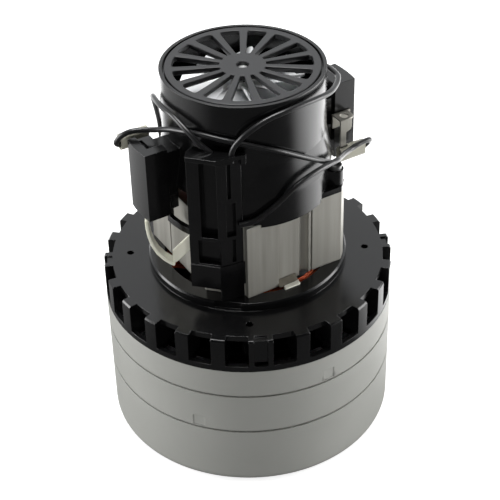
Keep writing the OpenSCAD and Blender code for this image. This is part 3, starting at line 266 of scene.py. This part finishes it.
LEAD_R = 1.3 * MM
ROUTES = {
    "left_brush_lead": [
         (-52, 16.1, 165.4), (-57.6, 16.1, 165.6), (-60, 15, 168), (-58.4, 12.4, 172.4),
         (-54.6, 9.8, 174.9), (-50.2, 7.8, 175.2), (-45.4, 3.6, 176), (-41.2, -3, 178.2),
         (-39, -10.6, 180.5), (-35.2, -19.9, 182.6), (-29.4, -27.8, 182.2), (-23.6, -32.8, 180.9),
         (-15, -37.5, 178), (-6.1, -40.1, 174.3), (5.4, -40.6, 167.8), (14.5, -39, 162),
         (22.3, -36, 156.6), (26.6, -33.4, 153.2), (28.4, -31.4, 150.8)],
    "right_brush_lead": [
         (52, -16.1, 141.6), (57.6, -16.1, 141.8), (60.4, -17, 144.4), (58.6, -19.6, 147.4),
         (52.4, -20.4, 147.6), (46.4, -21.6, 147), (40.4, -25.4, 148.8), (34.2, -31.1, 151.9),
         (28.1, -36.5, 155.2), (14.3, -41.6, 157.2), (1.9, -43.6, 155), (-10.4, -42.3, 146.1),
         (-18.8, -39.6, 140.4), (-24.9, -36.6, 138.5)],
    "left_supply_lead": [
         (-33.4, -27.8, 172.4), (-33.6, -27.4, 176), (-36.6, -23, 179.4), (-39.4, -17, 184),
         (-41, -7.8, 187.2), (-41.2, 1, 187), (-39.8, 10.8, 185.6), (-37, 20.4, 183), (-33, 28, 176),
         (-28, 35.4, 164), (-23.6, 42, 150), (-21, 46.6, 128), (-19.4, 50, 108), (-17.6, 54, 96.6),
         (-12.4, 57.6, 93.5), (-6, 59, 93.5)],
    "right_supply_lead": [
         (-27, -34.4, 172.4), (-26.6, -34.2, 177), (-25, -35.2, 181.4), (-20.4, -37.6, 187),
         (-11.6, -39.6, 192), (-0.1, -41, 194.4), (13.6, -39, 193.8), (24.6, -34.6, 191.8),
         (32.6, -28.4, 190.2), (38.4, -21.8, 189.6), (40.4, -15.6, 189), (41.4, -6, 187.4),
         (42.4, 6, 181), (42.8, 16, 170), (42.8, 20.6, 152), (45, 22.6, 128), (48.6, 24.4, 108),
         (52.4, 26.4, 96.8), (52.2, 31, 93.5), (48.8, 36, 93.5)],
}


def leads():
    for node, route in ROUTES.items():
        line = smooth(route)
        obj = tube_curve(node + "_wire", line, LEAD_R, MATERIALS["lead_insulation"])
        stands_for(obj, "frame", "lead_insulation", node)


# Shapes that several pieces share

WELD = 0.000002
FLAT_ENOUGH = 0.999
SMOOTH_BELOW = 50
BEVEL_ABOVE = 35


def mesh_object(name, bm, material, bevel=0.0):
    """A mesh object with its faces' normals outward, and its edges bevelled where asked."""
    bmesh.ops.recalc_face_normals(bm, faces=bm.faces)
    data = bpy.data.meshes.new(name)
    bm.to_mesh(data)
    bm.free()
    data.materials.append(material)
    obj = bpy.data.objects.new(name, data)
    bpy.context.collection.objects.link(obj)
    if bevel:
        m = obj.modifiers.new("edges", "BEVEL")
        m.width = bevel
        m.segments = 2
        m.angle_limit = math.radians(BEVEL_ABOVE)
        m.harden_normals = False
    data.shade_smooth()
    bpy.context.view_layer.objects.active = obj
    data.set_sharp_from_angle(angle=math.radians(SMOOTH_BELOW))
    return obj


def skin(bm, rows):
    """Faces between rings of vertices, and a cap at both ends."""
    n = len(rows[0])
    for one, two in zip(rows, rows[1:]):
        for k in range(n):
            bm.faces.new((one[k], one[(k + 1) % n], two[(k + 1) % n], two[k]))
    bm.faces.new(rows[0])
    bm.faces.new(reversed(rows[-1]))


def arc(centre, radius, start, end, steps):
    """Points on an arc, angles in degrees."""
    turns = [math.radians(start + (end - start) * i / steps) for i in range(steps + 1)]
    return [(centre[0] + radius * math.cos(a), centre[1] + radius * math.sin(a)) for a in turns]


def circle(centre, radius, sides):
    return arc(centre, radius, 0, 360 - 360 // sides, sides - 1)


def rounded(corners, radii, steps=5):
    """An outline with its corners rounded, each to its own radius."""
    out = []
    n = len(corners)
    for i, (corner, r) in enumerate(zip(corners, radii)):
        p = Vector(corner)
        a, b = (Vector(corners[(i + k) % n]) - p for k in (-1, 1))
        a, b = a.normalized(), b.normalized()
        half = a.angle(b) / 2
        if not r:
            out.append(tuple(p))
            continue
        run = r / math.tan(half)
        for s in range(steps + 1):
            t = s / steps
            start, end = p + a * run, p + b * run
            out.append(tuple(start * (1 - t) ** 2 + p * 2 * t * (1 - t) + end * t ** 2))
    return out


def plate(name, outlines, thick, material, edge, to_frame):
    """A flat piece with holes: outlines in millimetres, the first one outside, edges rounded."""
    data = bpy.data.curves.new(name, "CURVE")
    data.dimensions = "2D"
    data.fill_mode = "BOTH"
    data.extrude = (thick / 2 - edge) * MM
    data.bevel_depth = edge * MM
    data.bevel_resolution = 2
    data.offset = -edge * MM
    for points in outlines:
        spline = data.splines.new("POLY")
        spline.points.add(len(points) - 1)
        for point, (x, y) in zip(spline.points, points):
            point.co = (x * MM, y * MM, 0, 1)
        spline.use_cyclic_u = True
    flat = bpy.data.objects.new(name + "_outline", data)
    bpy.context.collection.objects.link(flat)
    mesh = bpy.data.meshes.new_from_object(flat.evaluated_get(bpy.context.evaluated_depsgraph_get()))
    bpy.data.objects.remove(flat)
    mesh.transform(to_frame)
    bm = bmesh.new()
    bm.from_mesh(mesh)
    bpy.data.meshes.remove(mesh)
    bmesh.ops.remove_doubles(bm, verts=bm.verts, dist=WELD)
    facing = (to_frame.to_3x3() @ Vector((0, 0, 1))).normalized()
    obj = mesh_object(name, bm, material)
    for face in obj.data.polygons:
        face.use_smooth = abs(face.normal.dot(facing)) < FLAT_ENOUGH
    return obj


def lathe(name, profile, material, body, slot, steps=96):
    """A round piece on the motor's axis: profile points are radius and height, in millimetres."""
    bm = bmesh.new()
    rings = []
    for k in range(steps):
        a = 2 * math.pi * k / steps
        rings.append([bm.verts.new((r * math.cos(a) * MM, r * math.sin(a) * MM, z * MM))
                      for r, z in profile])
    n = len(profile)
    for k in range(steps):
        one, two = rings[k], rings[(k + 1) % steps]
        for i in range(n):
            bm.faces.new((one[i], two[i], two[(i + 1) % n], one[(i + 1) % n]))
    bmesh.ops.remove_doubles(bm, verts=bm.verts, dist=WELD)
    obj = mesh_object(name, bm, material)
    stands_for(obj, body, slot)
    return obj


def span(node):
    """A node's lowest and highest corners, in millimetres."""
    low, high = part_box(node)
    return Vector(low) / MM, Vector(high) / MM


# Grille over the cooling fan

SPOKES = 15
SPOKE_TURN = 58.6


def grille():
    """Slots between the spokes widen outwards; each is rounded at its corners."""
    low, high = span("fan_cover")
    rim = high.x
    hub, hole, ring_w = 10.8, 3.0, 3.4
    inner_w, outer_w = 1.9, 9.8
    inner_round, outer_round, edge = 0.5, 1.5, 0.35
    outer = rim - ring_w
    outlines = [circle((0, 0), rim, 120), circle((0, 0), hole, 24)]
    side = math.degrees(math.asin(outer_w / 2 / outer))
    for k in range(SPOKES):
        turn = math.radians(SPOKE_TURN + (k + 0.5) * 360 / SPOKES)
        far = arc((0, 0), outer, -side, side, 4)
        corners = [(hub, -inner_w / 2)] + far + [(hub, inner_w / 2)]
        slot = rounded(corners, [inner_round, outer_round, 0, 0, 0, outer_round, inner_round])
        c, s = math.cos(turn), math.sin(turn)
        outlines.append([(x * c - y * s, x * s + y * c) for x, y in slot])
    middle = Matrix.Translation((0, 0, (low.z + high.z) / 2 * MM))
    obj = plate("fan_grille", outlines, high.z - low.z, MATERIALS["black_grille"], edge, middle)
    stands_for(obj, "frame", "black_grille", "fan_cover")


FAN_BLADES = 9
FAN_TURN = 20
FAN_LEAN = -34


def cooling_fan():
    """A pressed fan: a domed disc with wide leaning blades, riding on the rotor."""
    low, high = span("cooling_fan")
    metal = MATERIALS["fan_aluminium"]
    rim, base, hub, bore = high.x, low.z, 8.5, 4.1
    sheet, dish, dome = 0.9, 1.4, 3.2
    profile = [(bore, base), (rim, base), (rim, base + sheet), (hub + 5, base + dish),
               (hub, base + dome), (bore, base + dome)]
    disc = lathe("cooling_fan_disc", profile, metal, "rotor", "fan_aluminium")
    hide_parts("cooling_fan")
    outline = rounded([(hub - 1, -4.4), (rim - 1, -6.6), (rim + 1.5, 5.4), (hub - 1, 3)],
                      [0.5, 3, 2, 0.5])
    blade_z = (high.z + base) / 2 + 1.6
    for k in range(FAN_BLADES):
        turn = Matrix.Rotation(math.radians(FAN_TURN + 360 * k / FAN_BLADES), 4, "Z")
        lean = Matrix.Rotation(math.radians(FAN_LEAN), 4, "X")
        obj = plate(f"cooling_fan_blade_{k + 1}", [outline], sheet, metal, 0.2,
                    turn @ Matrix.Translation((0, 0, blade_z * MM)) @ lean)
        stands_for(obj, "rotor", "fan_aluminium")


def shaft_end():
    """The shaft's turned tip with its centre mark, which shows in the grille's hole."""
    top = span("shaft")[1].z
    tip_r, tip_h, chamfer = 2.6, 2.6, 0.4
    mark_r, mark_h, root = 0.9, 0.6, 2
    profile = [(0, top - root), (tip_r, top - root), (tip_r, top + tip_h - chamfer),
               (tip_r - chamfer, top + tip_h), (mark_r, top + tip_h), (0, top + tip_h - mark_h)]
    lathe("shaft_tip", profile, MATERIALS["bright_steel"], "rotor", "bright_steel", 32)


# Field coils: sizes in millimetres; the end turns bend out further below the core

WIRE_R = 0.46
COIL_TURNS = 9
COIL_LAYERS = 3
COIL_PITCH = 1.08
COIL_SLOT_R = 25.0
COIL_HALF_W = 28.0
COIL_CORNER = 1.5
COIL_BELOW_R = 40.4
COIL_ABOVE_R = 34.6
TURN_STRAYS = 0.16
LAYER_SINKS = 0.2
LOOP_STEPS = 8
CORNER_STEPS = 4


def coil_points():
    """One field coil in front of the rotor: nested turns in layers, wound as one wire."""
    low, high = span("stator_core")
    middle, side = (low.z + high.z) / 2, (high.z - low.z) / 2
    loop = []
    for start, across, up in ((0, 1, 1), (90, -1, 1), (180, -1, -1), (270, 1, -1)):
        loop += [(across, up, start + 90 * i / CORNER_STEPS) for i in range(CORNER_STEPS + 1)]
        if start in (0, 180):
            loop += [(across * (1 - 2 * i / LOOP_STEPS), up, start + 90)
                     for i in range(1, LOOP_STEPS)]
    path = []
    for layer in range(COIL_LAYERS):
        for turn in range(COIL_TURNS):
            nth = turn if layer % 2 == 0 else COIL_TURNS - 1 - turn
            s = COIL_CORNER + COIL_PITCH * nth + rng.uniform(-TURN_STRAYS, TURN_STRAYS)
            lift = rng.uniform(-LAYER_SINKS, 0)
            for across, up, angle in loop:
                a = math.radians(angle)
                x = across * (COIL_HALF_W - COIL_CORNER) + s * math.cos(a)
                z = middle + up * side + s * math.sin(a)
                out = math.sin(a) ** 2
                far = COIL_ABOVE_R if up > 0 else COIL_BELOW_R
                inner = COIL_SLOT_R + layer * COIL_PITCH + lift
                outer = far - (COIL_LAYERS - 1 - layer) * COIL_PITCH + lift
                r = inner + (outer - inner) * out
                turned = -math.pi / 2 + x / COIL_SLOT_R
                path.append(Vector((r * math.cos(turned), r * math.sin(turned), z)) * MM)
    return path


def field_coils():
    path = coil_points()
    for name, half in (("front", 1), ("rear", -1)):
        line = [Vector((half * p.x, half * p.y, p.z)) for p in path]
        obj = tube_curve(name + "_coil_wire", line, WIRE_R * MM, MATERIALS["winding_copper"], 1)
        stands_for(obj, "frame", "winding_copper", name + "_field_coil")


PAPER_R = 40.5
PAPER_SLOPE = 24
COIL_WALL_R = 41.15


def coil_tabs():
    """Paper behind the end turns and the white foot that holds them, at both ends of the core."""
    low, high = span("stator_core")
    upright = Matrix.Rotation(math.pi / 2, 4, "X")
    for name, turn in (("front", 0), ("rear", math.pi)):
        round_axis = Matrix.Rotation(turn, 4, "Z")
        sheet = rounded([(-5.6, 0), (4.4, 0), (5.4, 4.4), (-6.4, 4.2)], [0.5] * 4)
        slope = Matrix.Rotation(math.radians(PAPER_SLOPE), 4, "X")
        obj = plate(name + "_coil_paper", [sheet], 0.4, PAPER, 0.1, round_axis
                    @ Matrix.Translation((0, -PAPER_R * MM, (low.z + 0.6) * MM)) @ slope)
        stands_for(obj, "frame", "white_insulation")
        wall = rounded([(-4, low.z - 4), (4, low.z - 4), (4, low.z + 0.9), (-4, low.z + 0.9)],
                       [0.6, 0.6, 0.2, 0.2])
        obj = plate(name + "_coil_wall", [wall], 0.5, MATERIALS["white_insulation"], 0.12,
                    round_axis @ Matrix.Translation((0, -COIL_WALL_R * MM, 0)) @ upright)
        stands_for(obj, "frame", "white_insulation", name + "_coil_frame")
        foot = rounded([(-4.8, -43), (4.2, -43), (5, -39.4), (2.6, -40.3), (-3.4, -40.3)],
                       [0.7, 0.7, 0.5, 0.8, 0.8])
        obj = plate(name + "_coil_foot", [foot], 0.9, MATERIALS["white_insulation"], 0.25,
                    round_axis @ Matrix.Translation((0, 0, (low.z + 0.5) * MM)))
        stands_for(obj, "frame", "white_insulation")


# Ivory strap from the left box's foot up to the post


def ribbon(name, path, across, width, thick, material, bevel):
    """A solid strip swept along points, with its width along one fixed direction."""
    bm = bmesh.new()
    rows = []
    for i, p in enumerate(path):
        ahead = (path[min(i + 1, len(path) - 1)] - path[max(i - 1, 0)]).normalized()
        out = ahead.cross(across).normalized() * thick / 2
        half = across * width / 2
        rows.append([bm.verts.new(p + a * half + b * out)
                     for a, b in ((-1, -1), (1, -1), (1, 1), (-1, 1))])
    skin(bm, rows)
    return mesh_object(name, bm, material, bevel)


def strap():
    """The strap in the view turned to face it: u to the right, v away and z up."""
    band = [(-46.9, 135.7), (-46.8, 131), (-46.2, 126.4), (-44.9, 121.2), (-42.7, 116.6),
            (-39.6, 112.8), (-36.4, 110.2), (-34.8, 109.4)]
    near_v, band_w, band_t, band_edge = -34.9, 6.0, 1.5, 0.35
    sheet_v, sheet_t, sheet_edge = -32.6, 1.3, 0.4
    path = [place(u * MM, (near_v + band_w / 2) * MM, z * MM) for u, z in band]
    obj = ribbon("strap_band", path, place(0, 1, 0), band_w * MM, band_t * MM, IVORY,
                 band_edge * MM)
    stands_for(obj, "frame", "white_insulation", "insulating_strap")
    sheet = rounded([(-35.8, 107.6), (-25.4, 119), (-25.4, 127.6), (-35.8, 116.6)],
                    [1.8, 0.4, 0.4, 1.5])
    facing = Matrix((place(1, 0, 0), (0, 0, 1), -place(0, 1, 0))).transposed().to_4x4()
    facing.translation = place(0, sheet_v * MM, 0)
    obj = plate("strap_sheet", [sheet], sheet_t, IVORY, sheet_edge, facing)
    stands_for(obj, "frame", "white_insulation")


# Brush terminals: a rounded flap with a hole, its front and leg, and the plate on the box

RIGHT_TAIL_H = 18
LEFT_TAIL_H = 13


def brush_terminal(side, tail_h, to_side):
    """Drawn on the right, tail_h below its flap, and brought to its side by the matrix."""
    low, high = span("right_brush_terminal")
    metal = MATERIALS["terminal_metal"]
    flap_x, flap_y, flap_z = low.x, low.y, high.z
    thick, edge, flap_w, hole_r = 0.8, 0.2, 8.8, 2.1
    wall_y, wall_z = flap_y + 7, flap_z - 8
    flap = rounded([(flap_x, flap_y), (flap_x + flap_w, flap_y), (flap_x + flap_w, wall_y + thick),
                    (flap_x, wall_y + thick)], [0.8, 3.6, 1, 0.3])
    hole = circle((flap_x + flap_w / 2, flap_y + 3.6), hole_r, 24)
    front = rounded([(flap_x, flap_z), (flap_x + 6.6, flap_z), (flap_x + 6.6, flap_z - 6.4),
                     (flap_x + 3.5, flap_z - 7.4), (flap_x + 3.3, flap_z - tail_h),
                     (flap_x, flap_z - tail_h)], [0.3, 1.6, 2, 1, 0.5, 0.5])
    wall = rounded([(flap_x, wall_z), (high.x, wall_z), (high.x, flap_z), (flap_x, flap_z)],
                   [0.4] * 4)
    tongue = rounded([(wall_y, wall_z), (high.y, wall_z), (high.y, wall_z + 8),
                      (wall_y, wall_z + 8)], [0.4] * 4)
    upright = Matrix.Rotation(math.pi / 2, 4, "X")
    across = Matrix.Rotation(math.pi / 2, 4, "Z") @ upright
    node = side + "_brush_terminal"
    for name, outlines, at, turn in (
            ("flap", [flap, hole], (0, 0, flap_z - thick / 2), Matrix()),
            ("leg", [front], (0, flap_y + thick / 2, 0), upright),
            ("wall", [wall], (0, wall_y + thick / 2, 0), upright),
            ("tongue", [tongue], (high.x - thick / 2, 0, 0), across)):
        place_it = to_side @ Matrix.Translation(Vector(at) * MM) @ turn
        obj = plate(side + "_terminal_" + name, outlines, thick, metal, edge, place_it)
        stands_for(obj, "frame", "terminal_metal", *([node] if name == "flap" else []))


def brush_terminals():
    """The left terminal is the right one turned half round the axis and upside down."""
    brush_z = (span("right_carbon_brush")[0].z + span("right_carbon_brush")[1].z) / 2
    over = Matrix.Translation((0, 0, 2 * brush_z * MM)) @ Matrix.Scale(-1, 4, (0, 0, 1))
    brush_terminal("right", RIGHT_TAIL_H, Matrix())
    brush_terminal("left", LEFT_TAIL_H, over @ Matrix.Rotation(math.pi, 4, "Z"))


# Brush springs: coiled wire, set in place between the terminal's end and the brush

SPRING_WIRE = 0.7
SPRING_CURLS = 8
CURL_RINGS = 12
SPRING_SIDES = 8


def brush_spring(side, sign):
    """A spring drawn along x, on the side that the sign names; its end curls lie flat."""
    node = side + "_brush_spring"
    low, high = span(node)
    r = (high.z - low.z - SPRING_WIRE) / 2
    middle = (low.z + high.z) / 2
    ends = sorted((abs(low.x), abs(high.x)))
    near, far = ends[0] + SPRING_WIRE / 2, ends[1] - SPRING_WIRE / 2
    n = SPRING_CURLS * CURL_RINGS
    line = []
    for i in range(n + 1):
        a = 2 * math.pi * i / CURL_RINGS
        t = max(0, i - CURL_RINGS / 2) if i < n / 2 else min(n - CURL_RINGS, i - CURL_RINGS / 2)
        out = Vector((0, sign * math.cos(a), math.sin(a)))
        x = near + (far - near) * t / (n - CURL_RINGS)
        line.append((Vector((sign * x, 0, middle)) + r * out, out))
    bm = bmesh.new()
    rows = []
    turns = [2 * math.pi * k / SPRING_SIDES for k in range(SPRING_SIDES)]
    for i, (p, out) in enumerate(line):
        ahead = (line[min(i + 1, n)][0] - line[max(i - 1, 0)][0]).normalized()
        over = ahead.cross(out).normalized()
        ring = [p + (out * math.cos(v) + over * math.sin(v)) * SPRING_WIRE / 2 for v in turns]
        rows.append([bm.verts.new(q * MM) for q in ring])
    skin(bm, rows)
    obj = mesh_object(node + "_coil", bm, MATERIALS["bright_steel"])
    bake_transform(obj)
    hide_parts(node)


# Stage

# How bright gloss sees the surroundings: two ramps over the floor, right and behind and on
# the left, in metres along their directions, and one over the world. In front it is dark.
RIGHT_GLOW = ((0.55, 0.835, 0), (0.01, 2.3, 0.035, 0.2))
LEFT_GLOW = ((-0.9, 0.43, 0), (0.01, 0.34, 0.1, 0.3))
BACK_GLOW = ((0, 1, 0), (0.02, 1.05, 0.05, 0.75))
FLOOR_SIZE = 6
FLOOR_DROP = 0.0004
FLOOR_WHITE = 0.8
FLOOR_DIM = 0.12


def along(nodes, links, vector, glow):
    """A ramp of strength along a direction in the camera's plan."""
    way, ramp = glow
    dot = nodes.new("ShaderNodeVectorMath")
    dot.operation = "DOT_PRODUCT"
    dot.inputs[1].default_value = place(*way)
    links.new(vector, dot.inputs[0])
    return spread(nodes, links, dot.outputs["Value"], *ramp)


def brighter(nodes, links, one, two):
    larger = nodes.new("ShaderNodeMath")
    larger.operation = "MAXIMUM"
    links.new(one, larger.inputs[0])
    links.new(two, larger.inputs[1])
    return larger.outputs["Value"]


def to_camera(nodes, links, white, seen):
    """White to camera and transmission rays, and the value that was seen to every other ray."""
    path = nodes.new("ShaderNodeLightPath")
    either = brighter(nodes, links, path.outputs["Is Camera Ray"], path.outputs["Is Transmission Ray"])
    mix = nodes.new("ShaderNodeMix")
    mix.inputs["B"].default_value = white
    links.new(either, mix.inputs["Factor"])
    links.new(seen, mix.inputs["A"])
    return path, mix.outputs["Result"]


def stage():
    """A floor that is white to the camera, ramped to gloss, and to bouncing light pale at the sides and
    painted darker in front as painted shade; and the world.
    """
    m, nodes, links, shader = new_material("floor_white")
    at = coords(nodes, links)
    patches = noise_at(nodes, links, at, 3)
    tone = blend_colours(nodes, links, patches, (0.56, 0.56, 0.56), (0.6, 0.6, 0.6))
    right = along(nodes, links, at, RIGHT_GLOW)
    left = along(nodes, links, at, LEFT_GLOW)
    lit = brighter(nodes, links, right, left)
    path, strength = to_camera(nodes, links, FLOOR_WHITE, lit)
    is_camera = path.outputs["Is Camera Ray"]
    shade = nodes.new("ShaderNodeMix")
    shade.data_type = "RGBA"
    shade.blend_type = "MULTIPLY"
    shade.inputs["Factor"].default_value = 1
    links.new(tone, shade.inputs["A"])
    # Painted shade: to every ray but the camera's, the floor's colour follows the glow ramps and is
    # darker in front.
    dimmed = spread(nodes, links, lit, FLOOR_DIM, 1, 0, 1)
    links.new(brighter(nodes, links, is_camera, dimmed), shade.inputs["B"])
    links.new(shade.outputs["Result"], shader.inputs["Base Color"])
    shader.inputs["Roughness"].default_value = 0.9
    shader.inputs["Specular IOR Level"].default_value = 0.1
    shown = brighter(nodes, links, path.outputs["Is Glossy Ray"], is_camera)
    power = nodes.new("ShaderNodeMath")
    power.operation = "MULTIPLY"
    links.new(strength, power.inputs[0])
    links.new(shown, power.inputs[1])
    links.new(power.outputs["Value"], shader.inputs["Emission Strength"])
    shader.inputs["Emission Color"].default_value = (1, 1, 1, 1)
    bpy.ops.mesh.primitive_plane_add(size=FLOOR_SIZE, location=(0, 0, -FLOOR_DROP))
    floor = bpy.context.object
    floor.name = "floor"
    floor.data.materials.append(m)

    world = bpy.data.worlds.new("studio")
    world.use_nodes = True
    nodes, links = world.node_tree.nodes, world.node_tree.links
    tex = nodes.new("ShaderNodeTexCoord")
    seen = along(nodes, links, tex.outputs["Generated"], BACK_GLOW)
    path, strength = to_camera(nodes, links, 1.0, seen)
    links.new(strength, nodes["Background"].inputs["Strength"])
    nodes["Background"].inputs["Color"].default_value = (0.97, 0.985, 1, 1)
    bpy.context.scene.world = world


# Each lamp's place and aim along the camera's plan, its width and height in metres, its
# power in watts, and whether gloss shows it
LAMPS = {
    "left_box": ((-0.85, 0.0, 0.25), (0, 0, 0.1), 0.5, 0.6, 8.5, True),
    "right_box": ((0.85, 0.02, 0.25), (0, 0, 0.1), 0.5, 0.6, 7.9, True),
    "top_box": ((-0.1, 0.05, 1.0), (0, 0, 0.1), 0.4, 0.4, 9, True),
    "front_fill": ((0.05, -1.0, 0.05), (0, 0, 0.04), 0.5, 0.16, 4.3, False),
}


def soft_light(name, at, aim, wide, high, power, reflected):
    data = bpy.data.lights.new(name, "AREA")
    data.shape = "RECTANGLE"
    data.size, data.size_y = wide, high
    data.energy = power
    obj = bpy.data.objects.new(name, data)
    bpy.context.collection.objects.link(obj)
    obj.visible_glossy = reflected
    obj.location = place(*at)
    away = obj.location - Vector(aim)
    obj.rotation_euler = away.to_track_quat("Z", "Y").to_euler()


camera()
leads()
finish_nodes()
grille()
shaft_end()
cooling_fan()
field_coils()
coil_tabs()
brush_terminals()
brush_spring("left", -1)
brush_spring("right", 1)
strap()
stage()
for lamp, facts in LAMPS.items():
    soft_light(lamp, *facts)

bpy.context.scene.view_settings.view_transform = "Standard"
